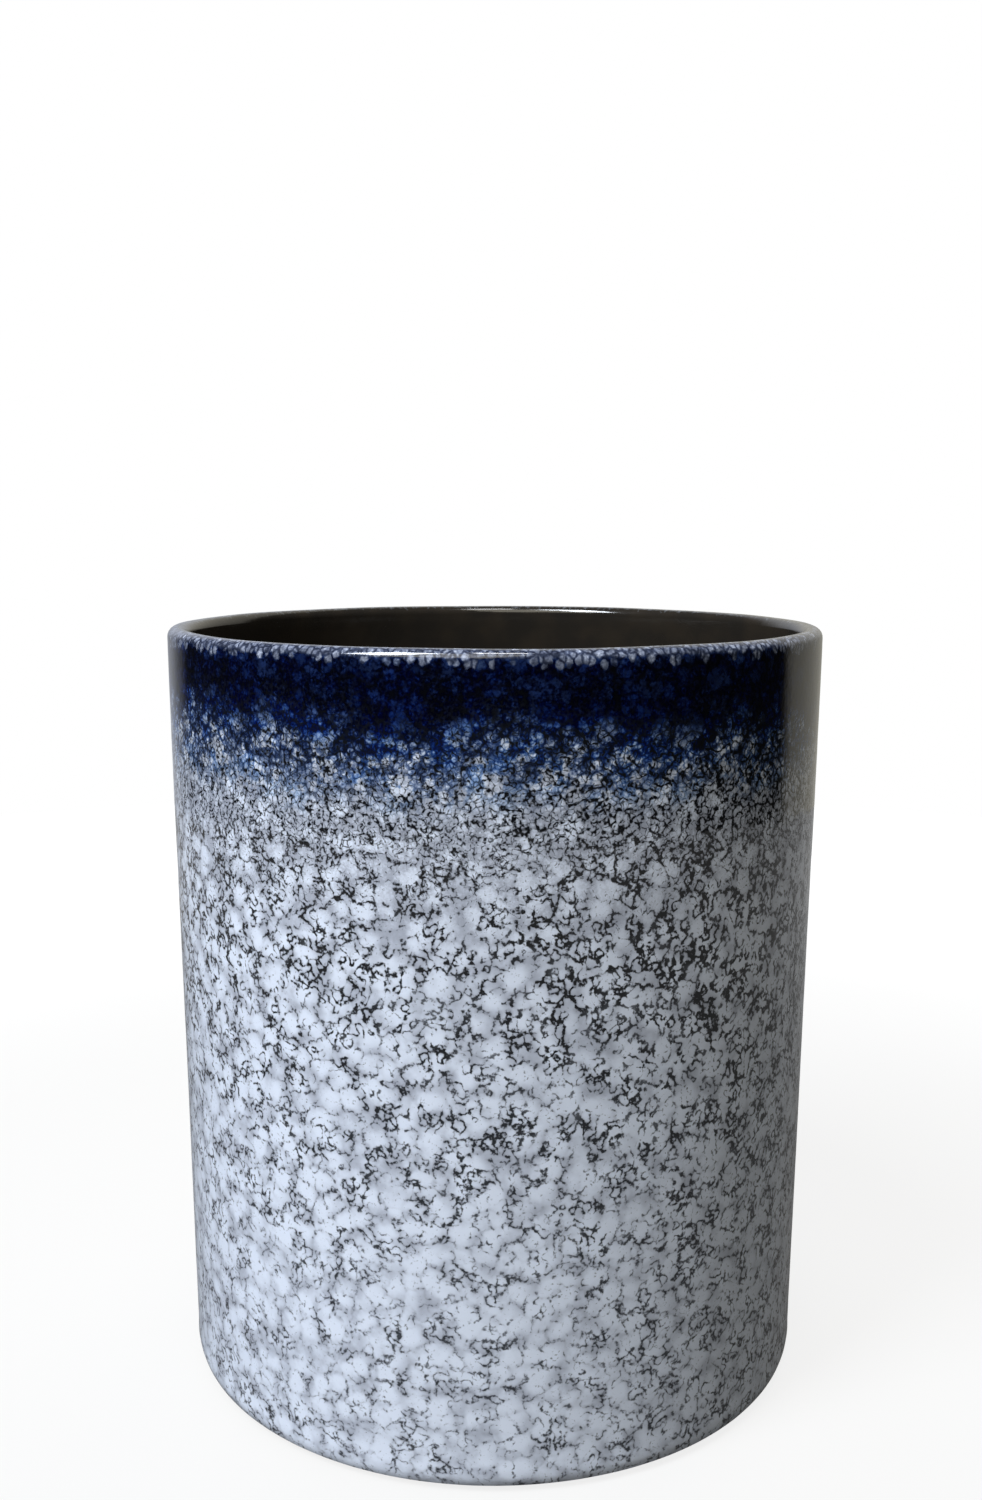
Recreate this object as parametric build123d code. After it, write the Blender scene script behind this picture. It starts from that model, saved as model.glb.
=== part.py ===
"""A straight-sided stoneware utensil crock with a reactive glaze.

The crock is one fired piece of clay: a round wall, a floor and a foot ring. What
lies on the clay is glaze, and each coat is a skin of its own: the pale coat
outside, the cobalt coat sprayed over its top, the lining inside and the disc of
glaze in the hollow under the floor. The foot ring is wiped bare to stand on.

Frame: +Z up along the crock's axis, origin at the centre of the foot's resting
face. Sizes are in millimetres.
"""

import os

from build123d import *

# Driving dimensions: the size of the finished, glazed crock
height = 180.0
outer_diameter = 153.0
wall_thickness = 4.8  # clay and both coats of glaze
floor_thickness = 6.4  # from the table to the inside floor

# Glaze
glaze_thickness = 0.4
glaze_line_height = 1.6  # the outer coat stops here, above the table
cobalt_thickness = 0.15
cobalt_bottom = 126.0
cobalt_feather = 14.0  # length over which the cobalt coat thins out downwards
cobalt_rim_gap = 3.0  # bare of cobalt below the rim, where the coat runs off the edge
cobalt_top_feather = 1.0

# Rounding of the finished surfaces
rim_round = 2.2
outer_corner_round = 4.0
inner_corner_round = 9.0

# Foot
foot_ring_width = 5.0
foot_recess_depth = 1.8
foot_edge_round = 0.6
recess_corner_round = 1.2
recess_glaze_line_height = 1.2  # the glaze in the hollow stops here, on the rounded corner

# Derived sizes
outer_radius = outer_diameter / 2
inner_radius = outer_radius - wall_thickness
crest_radius = outer_radius - wall_thickness / 2
foot_outer_radius = outer_radius - outer_corner_round
foot_inner_radius = foot_outer_radius - foot_ring_width
cobalt_top = height - cobalt_rim_gap


def box_section(low_radius, high_radius, low_z, high_z):
    """A rectangle of the half section, from its inner and outer radius and its two heights."""
    width = high_radius - low_radius
    tall = high_z - low_z
    return Pos(low_radius + width / 2, low_z + tall / 2) * Rectangle(width, tall)


def crock_section(bare):
    """Half section of the crock with a layer of the given thickness taken off wherever glaze lies.

    With bare = 0 it is the finished crock, and with the glaze's thickness it is the clay alone.
    The foot ring has no glaze, so its outline is the same in both.
    """
    wall_out = outer_radius - bare
    wall_in = inner_radius + bare
    top = height - bare
    floor = floor_thickness - bare
    recess = foot_recess_depth + bare
    corners = [
        ((wall_out, 0.0), outer_corner_round - bare),
        ((wall_out, top), rim_round - bare),
        ((wall_in, top), rim_round - bare),
        ((wall_in, floor), inner_corner_round + bare),
        ((0.0, floor), 0.0),
        ((0.0, recess), 0.0),
        ((foot_inner_radius, recess), recess_corner_round),
        ((foot_inner_radius, 0.0), foot_edge_round),
    ]
    points = [point for point, _ in corners]
    rounds = [radius for _, radius in corners]
    return make_face(FilletPolyline(*points, radius=rounds, close=True))


def turned(section):
    """Revolve a half section, drawn as radius and height, once round the crock's axis."""
    return revolve(Plane.XZ * section, axis=Axis.Z)


def glaze_in(region):
    """The coat of glaze that lies in one rectangle of the half section."""
    return turned((crock_section(0.0) - crock_section(glaze_thickness)) & region)


def stoneware_body():
    """The fired clay: wall, floor and foot ring in one piece."""
    return turned(crock_section(glaze_thickness))


def outer_glaze():
    """The pale coat outside, from just above the foot up to the crest of the rim."""
    return glaze_in(box_section(crest_radius, outer_radius, glaze_line_height, height))


def liner_glaze():
    """The coat inside, from the crest of the rim down the wall and across the floor."""
    return glaze_in(box_section(0.0, crest_radius, floor_thickness - glaze_thickness, height))


def foot_recess_glaze():
    """The disc of glaze in the hollow inside the foot ring, down to a wiped line in its corner."""
    roof = foot_recess_depth + glaze_thickness
    return glaze_in(box_section(0.0, foot_inner_radius, recess_glaze_line_height, roof))


def cobalt_band_glaze():
    """The cobalt coat over the top of the pale one, thinned to nothing at both edges."""
    proud = outer_radius + cobalt_thickness
    outline = Polyline(
        (outer_radius, cobalt_bottom),
        (proud, cobalt_bottom + cobalt_feather),
        (proud, cobalt_top - cobalt_top_feather),
        (outer_radius, cobalt_top),
        close=True,
    )
    return turned(make_face(outline))


def main():
    os.makedirs("parts", exist_ok=True)
    for make in (stoneware_body, outer_glaze, cobalt_band_glaze, liner_glaze, foot_recess_glaze):
        piece = make()
        export_step(piece, f"parts/{make.__name__}.step")
        print(f"{make.__name__}: {piece.volume / 1000:.1f} cm3")


main()
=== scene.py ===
"""Dresses a stoneware utensil crock: reactive glaze over the fired clay, in a plain studio.

The glaze skins are spun from half outlines and take the slight unevenness of fired ware.
Their materials share one pattern in the crock's own space, so it runs on from skin to skin.
"""

import math
from types import SimpleNamespace

import bmesh
import bpy
from bpy.props import FloatProperty, FloatVectorProperty, IntProperty, PointerProperty
from bpy.types import NodeSocket, Operator, Panel, PropertyGroup
from mathutils import Matrix, Vector, noise


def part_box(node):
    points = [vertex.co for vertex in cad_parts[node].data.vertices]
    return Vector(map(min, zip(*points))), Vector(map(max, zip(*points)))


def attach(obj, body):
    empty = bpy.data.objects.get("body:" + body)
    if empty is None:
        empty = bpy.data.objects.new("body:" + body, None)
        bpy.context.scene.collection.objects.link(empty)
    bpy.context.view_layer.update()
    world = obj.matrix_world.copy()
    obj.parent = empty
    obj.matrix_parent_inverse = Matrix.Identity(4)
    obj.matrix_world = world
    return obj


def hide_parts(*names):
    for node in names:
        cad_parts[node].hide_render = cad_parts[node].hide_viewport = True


bl_info = {
    "name": "Utensil Crock",
    "version": (1, 0, 0),
    "blender": (4, 5, 0),
    "location": "View3D > Sidebar > Crock",
    "description": "Glazes a stoneware crock and sets up a plain studio round it",
    "category": "Add Mesh",
}

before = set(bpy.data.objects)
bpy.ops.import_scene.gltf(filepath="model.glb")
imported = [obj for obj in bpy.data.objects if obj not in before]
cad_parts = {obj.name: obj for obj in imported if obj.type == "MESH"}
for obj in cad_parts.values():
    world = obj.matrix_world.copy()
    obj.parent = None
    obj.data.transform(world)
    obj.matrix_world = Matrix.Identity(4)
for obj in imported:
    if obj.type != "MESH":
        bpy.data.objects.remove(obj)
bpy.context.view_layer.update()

BODY = "root"
MM = 0.001

# Places on the crock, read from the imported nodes
COAT_LOW, COAT_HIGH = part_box("outer_glaze")
LINER_LOW, LINER_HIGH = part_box("liner_glaze")
BAND_LOW, BAND_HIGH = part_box("cobalt_band_glaze")
RECESS_LOW, RECESS_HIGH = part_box("foot_recess_glaze")
CLAY_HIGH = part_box("stoneware_body")[1]

HEIGHT = COAT_HIGH.z
OUTER_RADIUS = COAT_HIGH.x
CREST_RADIUS = LINER_HIGH.x
INNER_RADIUS = 2 * CREST_RADIUS - OUTER_RADIUS
COAT = HEIGHT - CLAY_HIGH.z
FLOOR = LINER_LOW.z + COAT
RECESS_ROOF = RECESS_HIGH.z - COAT


class CrockShape(PropertyGroup):
    """Roundings, unevenness and fineness of the glaze skins."""

    rim_round: FloatProperty(
        name="Rim Rounding", description="Radius of both edges of the rim",
        default=2.2 * MM, unit="LENGTH")
    foot_round: FloatProperty(
        name="Foot Rounding", description="Radius where the wall turns under to the foot",
        default=4.0 * MM, unit="LENGTH")
    floor_round: FloatProperty(
        name="Floor Rounding", description="Radius where the inside wall meets the floor",
        default=9.0 * MM, unit="LENGTH")
    recess_round: FloatProperty(
        name="Recess Rounding", description="Radius in the corner of the hollow foot",
        default=1.2 * MM, unit="LENGTH")
    recess_radius: FloatProperty(
        name="Recess Radius", description="Radius of the hollow inside the foot ring",
        default=67.5 * MM, unit="LENGTH")
    wall_wave: FloatProperty(
        name="Wall Wave", description="How far the wall wanders from a true cylinder",
        default=0.26 * MM, unit="LENGTH")
    orange_peel: FloatProperty(
        name="Orange Peel", description="Depth of the fine dimples of the fired glaze",
        default=0.03 * MM, unit="LENGTH")
    rim_wave: FloatProperty(
        name="Rim Wave", description="How far the rim's height wanders",
        default=0.22 * MM, unit="LENGTH")
    foot_roll: FloatProperty(
        name="Foot Roll", description="Extra glaze that gathered above the bare foot",
        default=0.14 * MM, unit="LENGTH")
    turns: IntProperty(
        name="Facets Round", description="Facets round the crock's axis", default=256)
    row: FloatProperty(
        name="Row Height", description="Height of one row of facets on the wall",
        default=2.0 * MM, unit="LENGTH")


class CrockGlaze(PropertyGroup):
    """Colours of the clay and the glazes, and sizes of the reactive glaze."""

    pale: FloatVectorProperty(
        name="Pale", description="The opaque pale glaze in the middle of a patch",
        subtype="COLOR", size=3, default=(0.785, 0.85, 1.0))
    thin: FloatVectorProperty(
        name="Thin Pale", description="The pale glaze where it is thinner, near the flecks",
        subtype="COLOR", size=3, default=(0.39, 0.42, 0.51))
    fleck: FloatVectorProperty(
        name="Fleck", description="The dark glaze that shows through between patches",
        subtype="COLOR", size=3, default=(0.006, 0.007, 0.009))
    stain: FloatVectorProperty(
        name="Cobalt Stain", description="What one thickness of cobalt lets through",
        subtype="COLOR", size=3, default=(0.24, 0.37, 0.61))
    deep_stain: FloatVectorProperty(
        name="Deep Stain", description="What it lets through where it is deep or the flecks crowd",
        subtype="COLOR", size=3, default=(0.355, 0.375, 0.435))
    liner: FloatVectorProperty(
        name="Liner", description="The near-black glaze inside the crock",
        subtype="COLOR", size=3, default=(0.016, 0.014, 0.012))
    liner_brown: FloatVectorProperty(
        name="Liner Brown", description="The liner where it is a little thinner",
        subtype="COLOR", size=3, default=(0.022, 0.018, 0.014))
    edge: FloatVectorProperty(
        name="Liner Edge", description="Where the pale glaze thins out over the liner's edge",
        subtype="COLOR", size=3, default=(0.085, 0.09, 0.10))
    clay: FloatVectorProperty(
        name="Clay", description="The bare fired clay",
        subtype="COLOR", size=3, default=(0.68, 0.58, 0.46))
    clay_dark: FloatVectorProperty(
        name="Dark Clay", description="The clay where the kiln toasted it",
        subtype="COLOR", size=3, default=(0.56, 0.45, 0.33))
    clay_speck: FloatVectorProperty(
        name="Clay Speck", description="Small dark grains in the clay",
        subtype="COLOR", size=3, default=(0.20, 0.13, 0.08))
    fleck_size: FloatProperty(
        name="Fleck Size", description="Size of the curls that the dark lines make",
        default=1.75 * MM, unit="LENGTH")
    patch_size: FloatProperty(
        name="Patch Size", description="Size of the pale patches between clusters of flecks",
        default=4.8 * MM, unit="LENGTH")
    fade_start: FloatProperty(
        name="Fade Start", description="Height at which the cobalt begins to show",
        default=137.0 * MM, unit="LENGTH")
    fade_end: FloatProperty(
        name="Fade End", description="Height from which the cobalt is at its deepest",
        default=171.0 * MM, unit="LENGTH")
    rim_line: FloatProperty(
        name="Rim Line", description="Height at which the cobalt begins to run off the rim",
        default=177.1 * MM, unit="LENGTH")


class CrockStudio(PropertyGroup):
    """Camera and lights."""

    distance: FloatProperty(
        name="Camera Distance", description="Level distance from the crock's axis",
        default=0.3518, unit="LENGTH")
    eye: FloatProperty(
        name="Camera Height", description="Height of the camera over the table",
        default=0.2030, unit="LENGTH")
    tilt: FloatProperty(
        name="Tilt", description="How far the camera looks down",
        default=math.radians(12.77), subtype="ANGLE")
    turn: FloatProperty(
        name="Turn", description="How far the camera looks to the left",
        default=math.radians(0.13), subtype="ANGLE")
    roll: FloatProperty(
        name="Roll", description="How far the camera leans to the left",
        default=math.radians(0.09), subtype="ANGLE")
    lens: FloatProperty(
        name="Focal Length", description="Focal length in millimetres on a 36 mm frame",
        default=35.08)
    shift: FloatProperty(
        name="Lens Shift", description="Upward shift of the lens, in frame heights",
        default=0.0698)
    key: FloatProperty(
        name="Key Light", description="Power of the large soft lamp at the front left",
        default=79.5)
    fill: FloatProperty(
        name="Fill Light", description="Power of the larger, weaker lamp nearer the camera",
        default=18.5)
    ceiling: FloatProperty(
        name="Ceiling Light", description="Power of the small lamp overhead", default=3.5)
    back: FloatProperty(
        name="Back Lights", description="Power of each of the two large lamps behind the crock",
        default=24.0)
    room_front: FloatProperty(
        name="Room In Front", description="Brightness of the room on the camera's side",
        default=0.035)
    window: FloatProperty(
        name="Window", description="Brightness of the bright wall behind the crock",
        default=0.5)
    cool: FloatVectorProperty(
        name="Cool Side", description="Colour of the room's light at the left",
        subtype="COLOR", size=3, default=(0.85, 0.93, 1.10))
    warm: FloatVectorProperty(
        name="Warm Side", description="Colour of the room's light at the right",
        subtype="COLOR", size=3, default=(1.07, 1.0, 0.74))
    table: FloatVectorProperty(
        name="Table", description="Own colour of the table top, which is dim beside the crock",
        subtype="COLOR", size=3, default=(0.07, 0.07, 0.07))
    table_radius: FloatProperty(
        name="Table Radius", description="Radius of the round table top",
        default=0.75, unit="LENGTH")
    lift: FloatProperty(
        name="Table Lift", description="Light that the eye sees added to the table near by",
        default=0.83)


class Sketch:
    """Adds nodes to one tree and joins them as they come."""

    def __init__(self, tree):
        self.tree = tree
        self.count = 0

    def node(self, kind, **settings):
        """A new node with its settings, placed in the next free cell of a loose grid."""
        made = self.tree.nodes.new(kind)
        made.location = (220 * (self.count // 5), -260 * (self.count % 5))
        self.count += 1
        for name, value in settings.items():
            setattr(made, name, value)
        return made

    def feed(self, socket, value):
        """Joins another node's output to a socket, or sets the socket to a plain value."""
        if isinstance(value, NodeSocket):
            self.tree.links.new(value, socket)
        else:
            socket.default_value = value

    def maths(self, operation, *values):
        """One arithmetic step on one, two or three numbers."""
        made = self.node("ShaderNodeMath", operation=operation)
        for socket, value in zip(made.inputs, values):
            self.feed(socket, value)
        return made.outputs[0]

    def times(self, first, second):
        """Two numbers multiplied."""
        return self.maths("MULTIPLY", first, second)

    def larger(self, first, second):
        """The larger of two numbers."""
        return self.maths("MAXIMUM", first, second)

    def gather(self, base, *shares):
        """A base number with shares of other values added, each given as the value and its weight."""
        for value, weight in shares:
            base = self.maths("MULTIPLY_ADD", value, weight, base)
        return base

    def ease(self, value, low, high, to_low=0.0, to_high=1.0):
        """A smooth step of a value between two limits."""
        made = self.node("ShaderNodeMapRange", interpolation_type="SMOOTHSTEP")
        for socket, number in zip(made.inputs, (value, low, high, to_low, to_high)):
            self.feed(socket, number)
        return made.outputs[0]

    # The Mix node takes its factor in socket 0, two numbers in 2 and 3, or two colours in 6 and 7
    def between(self, factor, first, second):
        """A number part of the way from one to another."""
        made = self.node("ShaderNodeMix", data_type="FLOAT")
        for place, value in ((0, factor), (2, first), (3, second)):
            self.feed(made.inputs[place], value)
        return made.outputs[0]

    def tint(self, factor, first, second, blend="MIX"):
        """A colour part of the way from one to another, or blended with it."""
        made = self.node("ShaderNodeMix", data_type="RGBA", blend_type=blend)
        for place, value in ((0, factor), (6, first), (7, second)):
            self.feed(made.inputs[place], value)
        return made.outputs[2]

    def axes(self, place):
        """The outputs X, Y and Z of a place."""
        made = self.node("ShaderNodeSeparateXYZ")
        self.feed(made.inputs[0], place)
        return made.outputs

    def cloud(self, place, size, detail=2.0):
        """Soft noise whose lumps are about one size across."""
        made = self.node("ShaderNodeTexNoise")
        self.feed(made.inputs["Vector"], place)
        scale = self.maths("DIVIDE", 1.0, size) if isinstance(size, NodeSocket) else 1 / size
        self.feed(made.inputs["Scale"], scale)
        self.feed(made.inputs["Detail"], detail)
        return made

    def swing(self, place, size, detail=1.0):
        """Soft noise that goes as far below 0 as above it."""
        return self.maths("SUBTRACT", self.cloud(place, size, detail).outputs[0], 0.5)

    def cells(self, place, size, feature="F1"):
        """A pattern of round cells about one size apart, with the distance in cell sizes."""
        made = self.node("ShaderNodeTexVoronoi", feature=feature)
        self.feed(made.inputs["Vector"], place)
        self.feed(made.inputs["Scale"], self.maths("DIVIDE", 1.0, size))
        return made

    def lot(self, cells, channel=0):
        """A random number from 0 to 1 that each cell has to itself, one for each channel."""
        made = self.node("ShaderNodeSeparateColor")
        self.feed(made.inputs[0], cells.outputs["Color"])
        return made.outputs[channel]

    def drift(self, place, size, reach):
        """The place moved about by soft noise, up to half its reach either way."""
        centred = self.node("ShaderNodeVectorMath", operation="SUBTRACT")
        self.feed(centred.inputs[0], self.cloud(place, size).outputs["Color"])
        centred.inputs[1].default_value = (0.5, 0.5, 0.5)
        moved = self.node("ShaderNodeVectorMath", operation="MULTIPLY_ADD")
        self.feed(moved.inputs[0], centred.outputs[0])
        moved.inputs[1].default_value = (reach, reach, reach)
        self.feed(moved.inputs[2], place)
        return moved.outputs[0]


def new_group(name, inputs, outputs):
    """An empty shader node group with named sockets: its sketch, what it is given and its results."""
    group = bpy.data.node_groups.new(name, "ShaderNodeTree")
    for label, kind in inputs:
        group.interface.new_socket(name=label, in_out="INPUT", socket_type="NodeSocket" + kind)
    for label, kind in outputs:
        group.interface.new_socket(name=label, in_out="OUTPUT", socket_type="NodeSocket" + kind)
    sketch = Sketch(group)
    given = sketch.node("NodeGroupInput").outputs
    return sketch, given, sketch.node("NodeGroupOutput").inputs


# The lower edge of the cobalt sways by half its reach up and down, and slants across the crock
SWAY = 14 * MM
SWAY_REACH = 12 * MM
DIP_SLANT = 0.027


def band_group():
    """How deep the cobalt is at a height: none low on the wall, full under the rim."""
    if "Cobalt Band" in bpy.data.node_groups:
        return bpy.data.node_groups["Cobalt Band"]
    sketch, given, result = new_group(
        "Cobalt Band",
        [("Place", "Vector"), ("Fade Start", "Float"), ("Fade End", "Float")],
        [("Depth", "Float")])
    axes = sketch.axes(given["Place"])
    sway = sketch.swing(given["Place"], SWAY, detail=2.0)
    height = sketch.gather(axes["Z"], (sway, SWAY_REACH), (axes["X"], DIP_SLANT))
    rise = sketch.node("ShaderNodeMapRange")
    for socket, value in zip(rise.inputs, (height, given["Fade Start"], given["Fade End"])):
        sketch.feed(socket, value)
    sketch.feed(result["Depth"], rise.outputs[0])
    return sketch.tree


# Where the lower wall, the net and the right side start, and where they are full; the right side,
# which is in shade, has denser flecks and painted shade and highlight
LOW_HEIGHTS = (125 * MM, 25 * MM)
NET_HEIGHTS = (112 * MM, 142 * MM)
FLECKED_SIDE_AND_PAINTED_LIGHT = (-15 * MM, 60 * MM)

# Sizes of the noises, and how far two of them bend the pattern
LUMP_BEND = 3.0 * MM
LUMP_BEND_REACH = 2.6 * MM
CURL = 1.3 * MM
CURL_REACH = 0.8 * MM
BLOOM = 4.2 * MM
FINE_BLOOM = 1.5 * MM
GRAIN = 0.55 * MM
BREAKS = 1.0 * MM


def shared_fields(sketch, place):
    """The noises, bent places and parts of the wall that the steps of the glaze share."""
    axes = sketch.axes(place)
    return SimpleNamespace(
        place=place,
        height=axes["Z"],
        low=sketch.ease(axes["Z"], *LOW_HEIGHTS),
        netted=sketch.ease(axes["Z"], *NET_HEIGHTS),
        # The right side: denser flecks, and painted shade and highlight that stand in for side light
        flecked_side_and_painted_light=sketch.ease(axes["X"], *FLECKED_SIDE_AND_PAINTED_LIGHT),
        bent=sketch.drift(place, LUMP_BEND, LUMP_BEND_REACH),
        curled=sketch.drift(place, CURL, CURL_REACH),
        bloom=sketch.cloud(place, BLOOM, detail=0.0).outputs[0],
        fine_bloom=sketch.cloud(place, FINE_BLOOM, detail=1.0).outputs[0],
        grain=sketch.swing(place, GRAIN),
        broken=sketch.swing(place, BREAKS, detail=2.0))


# Clusters of flecks: the pairs of widths and strengths are for sparse and for crowded places
CROWD = 6.0 * MM
CROWD_LOW_DOWN = -0.06
CROWD_LEVELS = (0.36, 0.58)
CLUSTER_WIDTH = (0.12, 0.50)
CLUSTER_CORE = 0.02
CLUSTER_STRENGTH = (0.66, 1.0)
COBALT_ONSET = (0.0, 0.18)
CLUSTER_IN_COBALT = 0.75


def fleck_clusters(sketch, field, depth, patch_size):
    """How crowded the flecks are, and how much of a cluster along the borders of the lumps."""
    border = sketch.cells(field.bent, patch_size, "DISTANCE_TO_EDGE").outputs["Distance"]
    crowd = sketch.cloud(field.place, CROWD, detail=1.0).outputs[0]
    crowd = sketch.ease(sketch.gather(crowd, (field.low, CROWD_LOW_DOWN)), *CROWD_LEVELS)
    cluster = sketch.ease(border, sketch.between(crowd, *CLUSTER_WIDTH), CLUSTER_CORE)
    cluster = sketch.times(cluster, sketch.between(crowd, *CLUSTER_STRENGTH))
    onset = sketch.ease(depth, *COBALT_ONSET)
    return crowd, sketch.between(onset, cluster, CLUSTER_IN_COBALT)


# Dark lines along one level of soft noise: the pairs are for high and for low on the wall
LINE_LEVEL = 0.53
LINE_WIGGLE = 0.4
LINE_REACH = (-0.034, -0.062)
LINE_SOFTNESS = (0.044, 0.060)
HALO_REACH = 0.22

# What widens the lines: clusters, the right side (denser flecks and painted shade), the breaks, the
# grain and the net's heights
LINE_WEIGHTS = (0.112, 0.034, 0.22, 0.26, -0.012)


def curled_lines(sketch, field, cluster, fleck_size):
    """Curled lines, broken up along their length, and the thinner glaze beside them."""
    parts = (cluster, field.flecked_side_and_painted_light, field.broken, field.grain, field.netted)
    reach = sketch.gather(sketch.between(field.low, *LINE_REACH), *zip(parts, LINE_WEIGHTS))
    soft = sketch.between(field.low, *LINE_SOFTNESS)
    swell = sketch.cloud(field.curled, fleck_size, detail=LINE_WIGGLE).outputs[0]
    off = sketch.maths("ABSOLUTE", sketch.maths("SUBTRACT", swell, LINE_LEVEL))
    line = sketch.ease(off, sketch.maths("ADD", reach, soft), sketch.maths("SUBTRACT", reach, soft))
    return line, sketch.times(sketch.ease(off, HALO_REACH, 0.0), cluster)


# The net: its reach below its heights, and within them outside and inside the clusters
ISLAND = 1.25 * MM
NET_REACH_BELOW = -0.12
NET_REACH = (-0.08, 0.050)
NET_RAGGED = 0.40
NET_SOFT_OUTSIDE = 0.09
NET_SOFT_INSIDE = 0.04
NET_STRENGTH = 0.88


def fine_net(sketch, field, cluster):
    """A fine broken net round small islands, where the cobalt starts and above."""
    edge = sketch.cells(field.curled, ISLAND, "DISTANCE_TO_EDGE").outputs["Distance"]
    reach = sketch.between(field.netted, NET_REACH_BELOW, sketch.between(cluster, *NET_REACH))
    reach = sketch.gather(reach, (field.broken, NET_RAGGED), (field.grain, NET_RAGGED))
    outside = sketch.maths("ADD", reach, NET_SOFT_OUTSIDE)
    net = sketch.ease(edge, outside, sketch.maths("SUBTRACT", reach, NET_SOFT_INSIDE))
    return sketch.times(net, NET_STRENGTH)


# Strength of the dark lines high and low on the wall, and where they are sparse
LINE_STRENGTH = (1.0, 0.92)
SPARSE_STRENGTH = 0.84


def dark_lines(sketch, field, crowd, line, net):
    """How dark the lines and the net are together."""
    dark = sketch.times(sketch.larger(line, net), sketch.between(field.low, *LINE_STRENGTH))
    sparse = sketch.between(crowd, SPARSE_STRENGTH, 1.0)
    return sketch.times(dark, sketch.between(field.netted, sparse, 1.0))


# The pale glaze: distance from a lump's middle, and levels of the noise and of the sum
LUMP_SLOPE = (0.75, 0.20)
BLOOM_SLOPE = (0.2, 0.8, 0.0, 0.50)
SHADE_LEVELS = (-0.08, 1.10)

# What makes it paler: a lump's middle, fine noise, lines near by, painted highlight on the right side,
# the lower wall
SHADE_WEIGHTS = (0.48, 0.40, -0.42, 0.08, 0.09)
NET_SHADE = -0.22
NET_GRAIN = 1.2


def pale_coat(sketch, field, given, halo):
    """Soft pale lumps, with thinner glaze between them and beside the lines."""
    lumps = sketch.cells(field.bent, given["Patch Size"])
    middle = sketch.ease(lumps.outputs["Distance"], *LUMP_SLOPE)
    # The lower wall's share is partly the glaze's own whiteness and partly painted bounce light from
    # the table
    parts = (middle, field.fine_bloom, halo, field.flecked_side_and_painted_light, field.low)
    shade = sketch.gather(sketch.ease(field.bloom, *BLOOM_SLOPE), *zip(parts, SHADE_WEIGHTS))
    shade = sketch.gather(
        shade, (field.netted, sketch.gather(NET_SHADE, (field.grain, NET_GRAIN))))
    return sketch.tint(sketch.ease(shade, *SHADE_LEVELS), given["Thin"], given["Pale"])


# Clumps in the cobalt: sizes, the slope of their edges, and how their brightness goes by lot
CLUMP = 2.9 * MM
CLUMP_SLOPE = (0.66, 0.26)
CLUMP_LOT = (0.0, 0.90, 0.15, 1.0)
ROSETTE = 5.6 * MM
ROSETTE_SLOPE = (0.56, 0.38)
ROSETTE_LOT = (0.50, 0.70)
CLUMP_RAGGED = 0.60
CLUMP_SHARE = 0.35
ISLAND_SLOPE = (0.86, 0.40)
ISLAND_RAGGED = 0.35
ISLAND_SHARE = (0.16, 0.30)
BRIGHT_GRAIN = 0.85
BRIGHT_BREAKS = 0.60
BRIGHT_RANGE = (-0.20, 0.62, 0.0, 0.60)


def rough_discs(sketch, field, size, slope, lot):
    """Rough-edged discs of one size, which differ in brightness."""
    cells = sketch.cells(field.bent, size)
    rough = sketch.gather(cells.outputs["Distance"], (field.broken, CLUMP_RAGGED))
    return sketch.times(sketch.ease(rough, *slope), sketch.ease(sketch.lot(cells), *lot))


def cobalt_clumps(sketch, field):
    """How bright the rounded clumps of three sizes are that stand out of the cobalt."""
    islands = sketch.cells(field.curled, ISLAND)
    small = sketch.ease(
        sketch.gather(islands.outputs["Distance"], (field.grain, ISLAND_RAGGED)), *ISLAND_SLOPE)
    clump = rough_discs(sketch, field, CLUMP, CLUMP_SLOPE, CLUMP_LOT)
    rosette = rough_discs(sketch, field, ROSETTE, ROSETTE_SLOPE, ROSETTE_LOT)
    bright = sketch.gather(
        sketch.times(sketch.larger(clump, rosette), CLUMP_SHARE),
        (small, sketch.between(sketch.lot(islands), *ISLAND_SHARE)),
        (field.grain, BRIGHT_GRAIN), (field.broken, BRIGHT_BREAKS))
    return sketch.ease(bright, *BRIGHT_RANGE)


# Coats of cobalt stain: how they grow with the depth, and how much the clumps spread them
STAIN_POWER = 5.0
STAIN_RISE = 7.5
STAIN_MOST = 4.9
STAIN_SPREAD = (0.25, 0.86, 0.0, 9.8)
EVEN_BRIGHTNESS = 0.465


def cobalt_stain(sketch, depth, bright):
    """How many coats of stain the pale glaze is seen through, fewer over the clumps."""
    stain = sketch.times(sketch.maths("POWER", depth, STAIN_POWER), STAIN_RISE)
    stain = sketch.maths("MINIMUM", stain, STAIN_MOST)
    spread = sketch.ease(depth, *STAIN_SPREAD)
    dimmer = sketch.maths("SUBTRACT", EVEN_BRIGHTNESS, bright)
    return sketch.larger(sketch.gather(stain, (dimmer, spread)), 0.0)


# Lobes at the rim: their size, how far they vary in height, how softly they start, how far up
# they close, and the slopes of their edges and seams
LOBE = 1.6 * MM
LOBE_STRETCH = 1.25
LOBE_HANG = 1.0 * MM
LOBE_START = 0.8 * MM
LOBES_CLOSE = 1.6 * MM
LOBE_SLOPE = (0.80, 0.50)
LOBE_RAGGED = 0.3
SEAM_SLOPE = (0.24, 0.02)

# Coats of stain left on a lobe: all over, more along its seam, by lot, and by the grain
LOBE_STAIN = 0.74
SEAM_STAIN = 1.8
LOT_STAIN = 0.50
GRAIN_STAIN = -2.0


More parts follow.
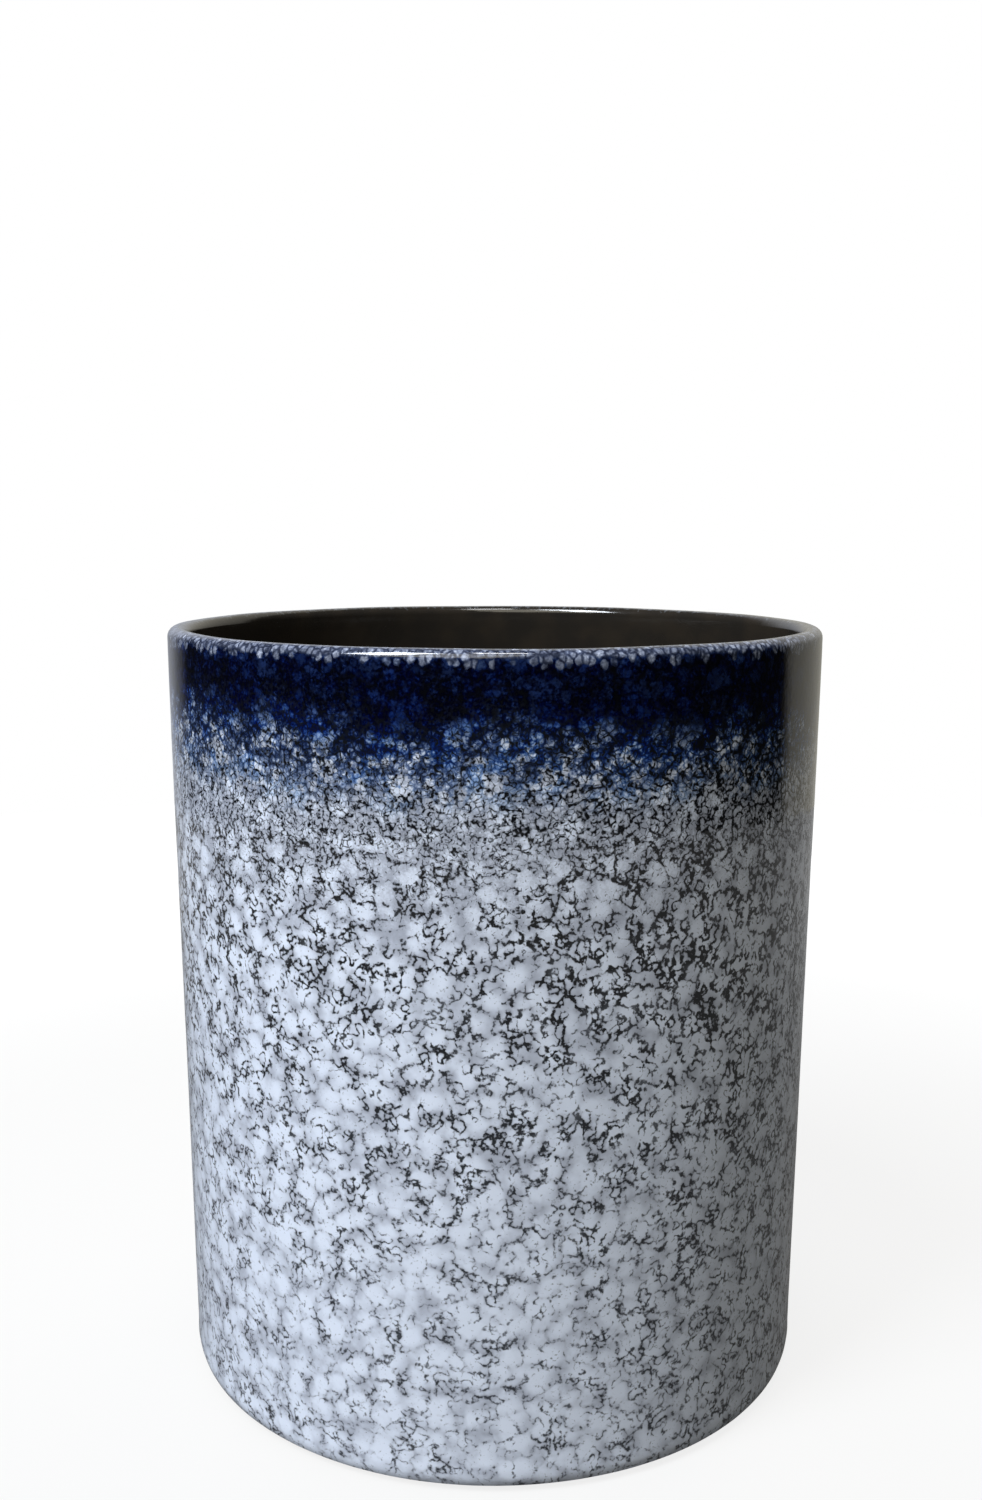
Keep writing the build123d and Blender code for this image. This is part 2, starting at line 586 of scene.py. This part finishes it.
def rim_lobes(sketch, field, rim_line):
    """Where the cobalt has run off the rim lobe by lobe, and the coats of stain left on the lobes."""
    squeezed = sketch.node("ShaderNodeVectorMath", operation="MULTIPLY")
    sketch.feed(squeezed.inputs[0], field.curled)
    squeezed.inputs[1].default_value = (1, 1, 1 / LOBE_STRETCH)
    lobes = sketch.cells(squeezed.outputs[0], LOBE)
    seam = sketch.cells(squeezed.outputs[0], LOBE, "DISTANCE_TO_EDGE").outputs["Distance"]
    centre = sketch.times(sketch.axes(lobes.outputs["Position"])["Z"], LOBE_STRETCH)
    hang = sketch.gather(centre, (sketch.lot(lobes), LOBE_HANG))
    bare = sketch.ease(hang, rim_line, sketch.maths("ADD", rim_line, LOBE_START))
    rounded = sketch.ease(
        sketch.gather(lobes.outputs["Distance"], (field.grain, LOBE_RAGGED)), *LOBE_SLOPE)
    closed = sketch.ease(field.height, rim_line, sketch.maths("ADD", rim_line, LOBES_CLOSE))
    bare = sketch.times(bare, sketch.larger(rounded, closed))
    left_on = sketch.gather(
        LOBE_STAIN, (sketch.ease(seam, *SEAM_SLOPE), SEAM_STAIN),
        (sketch.lot(lobes, channel=1), LOT_STAIN), (field.grain, GRAIN_STAIN))
    return bare, sketch.larger(left_on, 0.0)


def seen_through(sketch, under, tone, coats):
    """A colour seen through some coats of stain, each of which lets one tone through."""
    split = sketch.node("ShaderNodeSeparateColor")
    sketch.feed(split.inputs[0], tone)
    passed = sketch.node("ShaderNodeCombineColor")
    for channel in range(3):
        sketch.feed(passed.inputs[channel], sketch.maths("POWER", split.outputs[channel], coats))
    return sketch.tint(1.0, under, passed.outputs[0], blend="MULTIPLY")


# The colours that the glaze is given, each with its property
COLOURS = {
    "Pale": "pale", "Thin": "thin", "Fleck": "fleck", "Stain": "stain", "Deep Stain": "deep_stain",
}

# How the whole glaze comes together, by the cobalt's depth and the clumps' brightness
CROWD_TONE = 0.55
DEEP_TONE = (0.6, 1.6)
HOLLOW_BRIGHTNESS = (0.20, 0.00)
HOLLOW_DEPTH = (0.05, 0.50, 0.0, 0.85)
VEIL_DEPTH = (1.15, 0.75)
GLAZE_ROUGHNESS = (0.10, 0.06)


def glaze_group():
    """The crawled glaze: pale lumps and dark flecks, blue clumps in the cobalt, lobes at the rim."""
    if "Crawled Glaze" in bpy.data.node_groups:
        return bpy.data.node_groups["Crawled Glaze"]
    sketch, given, result = new_group(
        "Crawled Glaze",
        [("Place", "Vector"), ("Depth", "Float"), ("Rim Line", "Float"),
         ("Fleck Size", "Float"), ("Patch Size", "Float")]
        + [(label, "Color") for label in COLOURS],
        [("Color", "Color"), ("Roughness", "Float"), ("Height", "Float")])
    depth = given["Depth"]
    field = shared_fields(sketch, given["Place"])
    crowd, cluster = fleck_clusters(sketch, field, depth, given["Patch Size"])
    line, halo = curled_lines(sketch, field, cluster, given["Fleck Size"])
    dark = dark_lines(sketch, field, crowd, line, fine_net(sketch, field, cluster))
    bright = cobalt_clumps(sketch, field)
    bare, left_on = rim_lobes(sketch, field, given["Rim Line"])
    coats = sketch.between(bare, cobalt_stain(sketch, depth, bright), left_on)
    deep = sketch.larger(sketch.times(crowd, CROWD_TONE), sketch.ease(depth, *DEEP_TONE))
    tone = sketch.tint(sketch.larger(deep, bare), given["Stain"], given["Deep Stain"])
    stained = seen_through(sketch, pale_coat(sketch, field, given, halo), tone, coats)
    hollow = sketch.times(
        sketch.ease(bright, *HOLLOW_BRIGHTNESS), sketch.ease(depth, *HOLLOW_DEPTH))
    veil = sketch.times(sketch.larger(dark, hollow), sketch.ease(depth, *VEIL_DEPTH))
    sketch.feed(result["Color"], sketch.tint(veil, stained, given["Fleck"]))
    sketch.feed(result["Roughness"], sketch.between(dark, *GLAZE_ROUGHNESS))
    sketch.feed(result["Height"], field.fine_bloom)
    return sketch.tree


# How ceramic bends light, and how deep the fine relief of each finish is
CERAMIC_IOR = 1.5
GLAZE_RELIEF = 0.02 * MM
LINER_RELIEF = 0.03 * MM
CLAY_RELIEF = 0.05 * MM


def new_finish(name):
    """An empty material: the material, its sketch and the place in the crock's own space."""
    material = bpy.data.materials.new(name)
    material.use_nodes = True
    material.node_tree.nodes.clear()
    sketch = Sketch(material.node_tree)
    return material, sketch, sketch.node("ShaderNodeTexCoord").outputs["Object"]


def ceramic_surface(sketch, colour, roughness, height, relief_depth):
    """The surface of a material: fired ceramic with fine relief."""
    relief = sketch.node("ShaderNodeBump")
    relief.inputs["Distance"].default_value = relief_depth
    sketch.feed(relief.inputs["Height"], height)
    shader = sketch.node("ShaderNodeBsdfPrincipled")
    shader.inputs["IOR"].default_value = CERAMIC_IOR
    sketch.feed(shader.inputs["Base Color"], colour)
    sketch.feed(shader.inputs["Roughness"], roughness)
    sketch.feed(shader.inputs["Normal"], relief.outputs["Normal"])
    output = sketch.node("ShaderNodeOutputMaterial")
    sketch.feed(output.inputs["Surface"], shader.outputs[0])


def glaze_material(name, glaze, depth_of):
    """One glaze finish: the crawled pattern on a glossy surface."""
    material, sketch, place = new_finish(name)
    pattern = sketch.node("ShaderNodeGroup", node_tree=glaze_group())
    sketch.feed(pattern.inputs["Place"], place)
    sketch.feed(pattern.inputs["Depth"], depth_of(sketch, place))
    sketch.feed(pattern.inputs["Rim Line"], glaze.rim_line)
    sketch.feed(pattern.inputs["Fleck Size"], glaze.fleck_size)
    sketch.feed(pattern.inputs["Patch Size"], glaze.patch_size)
    for label, colour in COLOURS.items():
        sketch.feed(pattern.inputs[label], (*getattr(glaze, colour), 1.0))
    made = pattern.outputs
    ceramic_surface(sketch, made["Color"], made["Roughness"], made["Height"], GLAZE_RELIEF)
    return material


def banded_depth(glaze):
    """The outside's cobalt depth, which goes by height."""
    def build(sketch, place):
        band = sketch.node("ShaderNodeGroup", node_tree=band_group())
        sketch.feed(band.inputs["Place"], place)
        sketch.feed(band.inputs["Fade Start"], glaze.fade_start)
        sketch.feed(band.inputs["Fade End"], glaze.fade_end)
        return band.outputs["Depth"]
    return build


def plain_depth(sketch, place):
    """No cobalt at all, for the hollow under the foot."""
    return 0.0


# The liner's noises, and the ragged line on the crest up to which it reaches
LINER_PATCH = 9 * MM
LINER_WAVE = 3.0 * MM
LINER_MOTTLE = 1.1 * MM
MOTTLE_REACH = 3.4 * MM
LINER_LINE = (HEIGHT + 1.2 * MM, HEIGHT + 2.2 * MM)
LINER_PATCH_LEVELS = (0.35, 0.7)
LINER_ROUGHNESS = (0.08, 0.16)


def liner_material(glaze):
    """The near-black liner, under a mottled grey edge on the crest of the rim."""
    material, sketch, place = new_finish("dark liner glaze")
    patchy = sketch.cloud(place, LINER_PATCH).outputs[0]
    mottle = sketch.cloud(place, LINER_MOTTLE).outputs[0]
    level = sketch.gather(sketch.axes(place)["Z"], (mottle, MOTTLE_REACH))
    brown = sketch.tint(
        sketch.ease(patchy, *LINER_PATCH_LEVELS), (*glaze.liner, 1.0), (*glaze.liner_brown, 1.0))
    colour = sketch.tint(sketch.ease(level, *LINER_LINE), brown, (*glaze.edge, 1.0))
    wave = sketch.cloud(place, LINER_WAVE, detail=1.0).outputs[0]
    roughness = sketch.between(patchy, *LINER_ROUGHNESS)
    ceramic_surface(sketch, colour, roughness, wave, LINER_RELIEF)
    return material


# The clay's noises, and the levels at which its patches and its dark grains show
CLAY_GRAIN = 0.35 * MM
CLAY_PATCH = 9 * MM
CLAY_PATCH_LEVELS = (0.35, 0.65)
CLAY_SPECK_LEVELS = (0.64, 0.72)
CLAY_ROUGHNESS = (0.75, 0.9)


def clay_material(glaze):
    """Bare fired clay, in two warm tones with small dark grains."""
    material, sketch, place = new_finish("fired stoneware")
    grain = sketch.cloud(place, CLAY_GRAIN, detail=4.0).outputs[0]
    patchy = sketch.cloud(place, CLAY_PATCH, detail=3.0).outputs[0]
    colour = sketch.tint(
        sketch.ease(patchy, *CLAY_PATCH_LEVELS), (*glaze.clay_dark, 1.0), (*glaze.clay, 1.0))
    colour = sketch.tint(
        sketch.ease(grain, *CLAY_SPECK_LEVELS), colour, (*glaze.clay_speck, 1.0))
    roughness = sketch.between(grain, *CLAY_ROUGHNESS)
    ceramic_surface(sketch, colour, roughness, grain, CLAY_RELIEF)
    return material


# Fineness of the roundings, and rows of the hidden skins as a multiple of the wall's
ROUND_STEPS = 6
FLOOR_ROUND_STEPS = 10
LINER_ROWS = 1.6
RECESS_ROWS = 3

# Points this close become one, a cut counts points this close as on it, and sharper edges stay sharp
MERGE_GAP = 0.001 * MM
CUT_GAP = 0.0001 * MM
SHARP_ANGLE = math.radians(45)

# Share of the cobalt's thickness that its skin has, which leaves room for the uneven surface
BAND_SHARE = 0.8


def open_outline(corners):
    """A bmesh with one open half outline, through corners given as radius and height."""
    bm = bmesh.new()
    points = [bm.verts.new((radius, 0.0, z)) for radius, z in corners]
    for start, end in zip(points, points[1:]):
        bm.edges.new((start, end))
    return bm, points


def round_off(bm, corner, radius, segments):
    """Rounds one corner of an outline."""
    bmesh.ops.bevel(
        bm, geom=[corner], offset=radius, offset_type="OFFSET", affect="VERTICES",
        segments=segments, profile=0.5, material=-1)


def cut_below(bm, height):
    """Cuts off what an outline has below a height."""
    bmesh.ops.bisect_plane(
        bm, geom=bm.verts[:] + bm.edges[:], dist=CUT_GAP, plane_co=(0, 0, height),
        plane_no=(0, 0, 1), clear_inner=True)


def divide(bm, row):
    """Divides the long edges of an outline into rows."""
    for edge in list(bm.edges):
        cuts = int(edge.calc_length() / row)
        if cuts > 0:
            bmesh.ops.subdivide_edges(bm, edges=[edge], cuts=cuts)


def spin_outline(bm, turns):
    """Spins an outline once round the crock's axis and closes the pole, if it has one."""
    bmesh.ops.spin(
        bm, geom=bm.verts[:] + bm.edges[:], cent=(0, 0, 0), axis=(0, 0, 1), dvec=(0, 0, 0),
        angle=2 * math.pi, steps=turns, use_merge=True, use_duplicate=False)
    bmesh.ops.remove_doubles(bm, verts=bm.verts, dist=MERGE_GAP)
    bmesh.ops.dissolve_degenerate(bm, edges=bm.edges, dist=MERGE_GAP)
    bmesh.ops.recalc_face_normals(bm, faces=bm.faces)


def wander(place, size):
    """Soft noise between about -1 and 1 at a place, with lumps of one size."""
    return noise.noise(place / size)


# Sizes of the waves, how far down the rim's goes, and where the roll of glaze above the foot lies
WALL_WAVE_SIZE = 48 * MM
PEEL_SIZE = 5 * MM
RIM_WAVE_SIZE = 22 * MM
RIM_WAVE_DEPTH = 14 * MM
ROLL_SIZE = 12 * MM
ROLL_HEIGHT = 4.2 * MM
ROLL_SPREAD = 1.6 * MM
ROLL_MEAN = 0.75
ROLL_VARIES = 0.5
POLE_RADIUS = 1 * MM


def settle(bm, shape):
    """Moves a skin's points a little, as fired ware is never quite true.

    The waves only go inwards and downwards, so the skin stays within the solid's box.
    """
    rim_start = HEIGHT - RIM_WAVE_DEPTH
    for vert in bm.verts:
        place = vert.co.copy()
        radius = math.hypot(place.x, place.y)
        if radius < POLE_RADIUS:
            continue
        outward = Vector((place.x, place.y, 0)) / radius
        spot = outward * OUTER_RADIUS + Vector((0, 0, place.z))
        wave = 0.5 * shape.wall_wave * (wander(spot, WALL_WAVE_SIZE) - 1)
        peel = shape.orange_peel * wander(spot, PEEL_SIZE)
        rise = max(0.0, (place.z - rim_start) / (HEIGHT - rim_start))
        lift = 0.5 * shape.rim_wave * (wander(spot, RIM_WAVE_SIZE) - 1) * rise
        foot = math.exp(-(((place.z - ROLL_HEIGHT) / ROLL_SPREAD) ** 2))
        roll = shape.foot_roll * foot * (ROLL_MEAN + ROLL_VARIES * wander(spot, ROLL_SIZE))
        if radius < INNER_RADIUS + MM:
            roll = 0.0
        vert.co = place + outward * (wave + peel + roll) + Vector((0, 0, lift))


def face_it(bm, spot):
    """Turns a skin's faces, which all point one way, so that the one nearest a spot looks at it."""
    nearest = min(bm.faces, key=lambda face: (face.calc_center_median() - spot).length)
    if nearest.normal.dot(spot - nearest.calc_center_median()) < 0:
        bmesh.ops.reverse_faces(bm, faces=bm.faces[:])


def finished_skin(bm, name, material, node, thickness=COAT):
    """Closes a skin with its thickness and hands it over as a piece that stands for its node."""
    bmesh.ops.solidify(bm, geom=bm.faces[:], thickness=thickness)
    for edge in bm.edges:
        if edge.is_manifold and edge.calc_face_angle() > SHARP_ANGLE:
            edge.smooth = False
    for face in bm.faces:
        face.smooth = True
    mesh = bpy.data.meshes.new(name)
    bm.to_mesh(mesh)
    bm.free()
    mesh.materials.append(material)
    piece = bpy.data.objects.new(name, mesh)
    bpy.context.scene.collection.objects.link(piece)
    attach(piece, BODY)
    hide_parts(node)


class CROCK_OT_outer_coat(Operator):
    """Make the pale glaze outside, from the bare foot up to the crest of the rim"""

    bl_idname = "crock.outer_coat"
    bl_label = "Outer Coat"

    def execute(self, context):
        shape, glaze = context.scene.crock_shape, context.scene.crock_glaze
        bm, points = open_outline([
            (CREST_RADIUS, HEIGHT), (OUTER_RADIUS, HEIGHT), (OUTER_RADIUS, 0), (CREST_RADIUS, 0)])
        round_off(bm, points[1], shape.rim_round, ROUND_STEPS)
        round_off(bm, points[2], shape.foot_round, ROUND_STEPS)
        cut_below(bm, COAT_LOW.z)
        divide(bm, shape.row)
        spin_outline(bm, shape.turns)
        face_it(bm, Vector((0, -2 * OUTER_RADIUS, HEIGHT / 2)))
        settle(bm, shape)
        material = glaze_material("pale reactive glaze", glaze, banded_depth(glaze))
        finished_skin(bm, "pale_outer_coat", material, "outer_glaze")
        return {"FINISHED"}


class CROCK_OT_cobalt_band(Operator):
    """Make the cobalt glaze that lies over the top of the pale coat"""

    bl_idname = "crock.cobalt_band"
    bl_label = "Cobalt Band"

    def execute(self, context):
        shape, glaze = context.scene.crock_shape, context.scene.crock_glaze
        bm = open_outline([(OUTER_RADIUS, BAND_HIGH.z), (OUTER_RADIUS, BAND_LOW.z)])[0]
        divide(bm, shape.row)
        thickness = BAND_SHARE * (BAND_HIGH.x - OUTER_RADIUS)
        for vert in bm.verts:
            share = (vert.co.z - BAND_LOW.z) / (BAND_HIGH.z - BAND_LOW.z)
            vert.co.x += thickness * math.sin(math.pi * share) ** 0.5
        spin_outline(bm, shape.turns)
        face_it(bm, Vector((0, -2 * OUTER_RADIUS, BAND_LOW.z)))
        settle(bm, shape)
        material = glaze_material("cobalt reactive glaze", glaze, banded_depth(glaze))
        finished_skin(
            bm, "cobalt_band", material, "cobalt_band_glaze", thickness)
        return {"FINISHED"}


class CROCK_OT_liner(Operator):
    """Make the glaze inside, from the crest of the rim down and across the floor"""

    bl_idname = "crock.liner"
    bl_label = "Liner"

    def execute(self, context):
        shape, glaze = context.scene.crock_shape, context.scene.crock_glaze
        bm, points = open_outline([
            (CREST_RADIUS, HEIGHT), (INNER_RADIUS, HEIGHT), (INNER_RADIUS, FLOOR), (0, FLOOR)])
        round_off(bm, points[1], shape.rim_round, ROUND_STEPS)
        round_off(bm, points[2], shape.floor_round, FLOOR_ROUND_STEPS)
        divide(bm, LINER_ROWS * shape.row)
        spin_outline(bm, shape.turns)
        face_it(bm, Vector((0, 0, HEIGHT / 2)))
        settle(bm, shape)
        finished_skin(bm, "liner_coat", liner_material(glaze), "liner_glaze")
        return {"FINISHED"}


class CROCK_OT_foot_recess(Operator):
    """Make the glaze in the hollow inside the foot ring"""

    bl_idname = "crock.foot_recess"
    bl_label = "Foot Recess"

    def execute(self, context):
        shape, glaze = context.scene.crock_shape, context.scene.crock_glaze
        bm, points = open_outline([
            (0, RECESS_ROOF), (shape.recess_radius, RECESS_ROOF), (shape.recess_radius, 0)])
        round_off(bm, points[1], shape.recess_round, ROUND_STEPS)
        cut_below(bm, RECESS_LOW.z)
        divide(bm, RECESS_ROWS * shape.row)
        spin_outline(bm, shape.turns)
        face_it(bm, Vector((0, 0, -HEIGHT)))
        material = glaze_material("recess glaze", glaze, plain_depth)
        finished_skin(bm, "foot_recess_coat", material, "foot_recess_glaze")
        return {"FINISHED"}


class CROCK_OT_clay_body(Operator):
    """Give the fired clay its bare, sponged surface"""

    bl_idname = "crock.clay_body"
    bl_label = "Clay Body"

    def execute(self, context):
        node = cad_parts["stoneware_body"]
        node.material_slots[0].material = clay_material(context.scene.crock_glaze)
        return {"FINISHED"}


# Each lamp's name and power, its azimuth, elevation and distance from the crock, size and colour
LAMPS = (
    ("key", "key", -50, 56, 2.4, (0.6, 1.2), (0.87, 0.93, 1.0)),
    ("fill", "fill", -22, 50, 2.0, (1.4, 1.4), (1.0, 0.95, 0.80)),
    ("back right", "back", 150, 35, 2.2, (1.4, 1.4), (1.0, 0.95, 0.86)),
    ("back left", "back", -150, 35, 2.2, (1.4, 1.4), (0.96, 0.98, 1.0)),
    ("ceiling", "ceiling", 8, 80, 1.4, (0.25, 0.25), (1.0, 1.0, 1.0)),
)


def toward(azimuth, elevation, distance):
    """A point as seen from the crock's middle: azimuth from the camera's side, positive rightwards."""
    level = distance * math.cos(elevation)
    return Vector((
        level * math.sin(azimuth), -level * math.cos(azimuth),
        HEIGHT / 2 + distance * math.sin(elevation)))


def studio_lamps(studio):
    """Rectangular soft lamps that face the crock's middle; those behind it aren't mirrored in it."""
    middle = Vector((0, 0, HEIGHT / 2))
    for name, power, azimuth, elevation, distance, size, colour in LAMPS:
        data = bpy.data.lights.new(name, "AREA")
        data.shape = "RECTANGLE"
        data.size, data.size_y = size
        data.energy = getattr(studio, power)
        data.color = colour
        lamp = bpy.data.objects.new(name, data)
        bpy.context.scene.collection.objects.link(lamp)
        lamp.location = toward(math.radians(azimuth), math.radians(elevation), distance)
        lamp.rotation_euler = (middle - lamp.location).to_track_quat("-Z", "Y").to_euler()
        lamp.visible_glossy = power != "back"


def seen_rays(sketch):
    """1 for rays straight from the camera, and 1 for those that come by way of a mirror or glass."""
    path = sketch.node("ShaderNodeLightPath").outputs
    mirrored = sketch.maths("MAXIMUM", path["Is Glossy Ray"], path["Is Transmission Ray"])
    return path["Is Camera Ray"], mirrored


# The room: where its left goes over into its right, then for left and right where the bright
# wall behind starts, is full and how bright it is, and how the room dims low down
SIDES = (-0.3, 0.3)
WALL_START = (0.62, 0.40)
WALL_FULL = (0.88, 0.55)
WALL_SHARE = (0.7, 0.9)
LOW_ROOM = (-0.12, 0.05, 0.3, 1.0)

# The room as it is mirrored: dimmer in front, less tinted, dim low down, and brighter by shares
# for its left and right
MIRRORED_FRONT = 0.35
MIRRORED_WHITE = 0.5
MIRRORED_HAZE = (-0.05, 0.30, 0.60, 1.0)
MIRRORED_SHARE = (2.1, 1.4)


def studio_world(studio):
    """White to look at, and a dim room round the crock, with a bright wall behind it."""
    world = bpy.data.worlds.new("studio")
    world.use_nodes = True
    world.node_tree.nodes.clear()
    sketch = Sketch(world.node_tree)
    direction = sketch.axes(sketch.node("ShaderNodeTexCoord").outputs["Generated"])
    right = sketch.ease(direction["X"], *SIDES)
    start = sketch.between(right, *WALL_START)
    behind = sketch.ease(direction["Y"], start, sketch.between(right, *WALL_FULL))
    camera_ray, mirrored = seen_rays(sketch)
    front = sketch.between(mirrored, studio.room_front, MIRRORED_FRONT * studio.room_front)
    wall = sketch.between(right, *(share * studio.window for share in WALL_SHARE))
    strength = sketch.between(behind, front, wall)
    tint = sketch.tint(right, (*studio.cool, 1.0), (*studio.warm, 1.0))
    room = sketch.node("ShaderNodeBackground")
    sketch.feed(room.inputs["Color"], tint)
    lower = sketch.ease(direction["Z"], *LOW_ROOM)
    sketch.feed(room.inputs["Strength"], sketch.times(strength, lower))
    backdrop = sketch.node("ShaderNodeBackground")
    untinted = sketch.larger(camera_ray, MIRRORED_WHITE)
    sketch.feed(backdrop.inputs["Color"], sketch.tint(untinted, tint, (1, 1, 1, 1)))
    haze = sketch.times(
        sketch.ease(direction["Z"], *MIRRORED_HAZE), sketch.between(right, *MIRRORED_SHARE))
    mirror_strength = sketch.times(strength, haze)
    sketch.feed(backdrop.inputs["Strength"], sketch.between(camera_ray, mirror_strength, 1.0))
    mix = sketch.node("ShaderNodeMixShader")
    sketch.feed(mix.inputs[0], sketch.larger(camera_ray, mirrored))
    sketch.feed(mix.inputs[1], room.outputs[0])
    sketch.feed(mix.inputs[2], backdrop.outputs[0])
    output = sketch.node("ShaderNodeOutputWorld")
    sketch.feed(output.inputs["Surface"], mix.outputs[0])
    bpy.context.scene.world = world


# The table goes over to white from its near radius to a share of its own, and is mirrored faintly
TABLE_SIDES = 96
TABLE_NEAR = 0.2
TABLE_FAR = 0.8
MIRRORED_TABLE = (0.08, 0.22)


def studio_floor(studio):
    """A round table top, which to the eye is pale by the crock and white away from it."""
    bm = bmesh.new()
    bmesh.ops.create_circle(
        bm, cap_ends=True, segments=TABLE_SIDES, radius=studio.table_radius)
    mesh = bpy.data.meshes.new("table")
    bm.to_mesh(mesh)
    bm.free()
    floor = bpy.data.objects.new("table", mesh)
    bpy.context.scene.collection.objects.link(floor)
    material, sketch, place = new_finish("pale table")
    reach = sketch.node("ShaderNodeVectorMath", operation="LENGTH")
    sketch.feed(reach.inputs[0], place)
    far = sketch.ease(reach.outputs["Value"], TABLE_NEAR, TABLE_FAR * studio.table_radius)
    camera_ray, mirrored = seen_rays(sketch)
    faint = sketch.times(mirrored, sketch.between(far, *MIRRORED_TABLE))
    seen = sketch.larger(camera_ray, faint)
    top = sketch.node("ShaderNodeBsdfDiffuse")
    sketch.feed(top.inputs["Color"], (*studio.table, 1.0))
    lift = sketch.node("ShaderNodeEmission")
    glow = sketch.between(far, studio.lift, 1.0)
    sketch.feed(lift.inputs["Strength"], sketch.times(seen, glow))
    both = sketch.node("ShaderNodeAddShader")
    sketch.feed(both.inputs[0], top.outputs[0])
    sketch.feed(both.inputs[1], lift.outputs[0])
    output = sketch.node("ShaderNodeOutputMaterial")
    sketch.feed(output.inputs["Surface"], both.outputs[0])
    mesh.materials.append(material)


# Width of the frame in millimetres that the focal length is given for, and the nearest point seen
FRAME_WIDTH = 36.0
NEAREST = 0.01


def studio_camera(studio):
    """The camera, which looks down on the crock from where the photograph was taken."""
    camera = bpy.data.objects.new("camera", bpy.data.cameras.new("camera"))
    bpy.context.scene.collection.objects.link(camera)
    camera.data.sensor_width = FRAME_WIDTH
    camera.data.lens = studio.lens
    camera.data.shift_y = studio.shift
    camera.data.clip_start = NEAREST
    camera.matrix_world = (
        Matrix.Translation((0, -studio.distance, studio.eye))
        @ Matrix.Rotation(studio.turn, 4, "Z")
        @ Matrix.Rotation(math.pi / 2 - studio.tilt, 4, "X")
        @ Matrix.Rotation(studio.roll, 4, "Z"))
    bpy.context.scene.camera = camera


class CROCK_OT_studio(Operator):
    """Set up the floor, the lights and the camera"""

    bl_idname = "crock.studio"
    bl_label = "Studio"

    def execute(self, context):
        studio = context.scene.crock_studio
        context.scene.view_settings.view_transform = "Standard"
        studio_lamps(studio)
        studio_world(studio)
        studio_floor(studio)
        studio_camera(studio)
        return {"FINISHED"}


class CROCK_PT_pieces(Panel):
    """The steps that dress the crock, in order"""

    bl_idname = "CROCK_PT_pieces"
    bl_label = "Crock"
    bl_space_type = "VIEW_3D"
    bl_region_type = "UI"
    bl_category = "Crock"

    def draw(self, context):
        for step in STEPS:
            self.layout.operator(step.bl_idname)


STEPS = (
    CROCK_OT_clay_body, CROCK_OT_outer_coat, CROCK_OT_cobalt_band, CROCK_OT_liner,
    CROCK_OT_foot_recess, CROCK_OT_studio,
)
CLASSES = (CrockShape, CrockGlaze, CrockStudio, *STEPS, CROCK_PT_pieces)


def register():
    for cls in CLASSES:
        bpy.utils.register_class(cls)
    bpy.types.Scene.crock_shape = PointerProperty(type=CrockShape)
    bpy.types.Scene.crock_glaze = PointerProperty(type=CrockGlaze)
    bpy.types.Scene.crock_studio = PointerProperty(type=CrockStudio)


def unregister():
    del bpy.types.Scene.crock_studio
    del bpy.types.Scene.crock_glaze
    del bpy.types.Scene.crock_shape
    for cls in reversed(CLASSES):
        bpy.utils.unregister_class(cls)


def main():
    register()
    bpy.ops.crock.clay_body()
    bpy.ops.crock.outer_coat()
    bpy.ops.crock.cobalt_band()
    bpy.ops.crock.liner()
    bpy.ops.crock.foot_recess()
    bpy.ops.crock.studio()


if __name__ == "__main__":
    main()
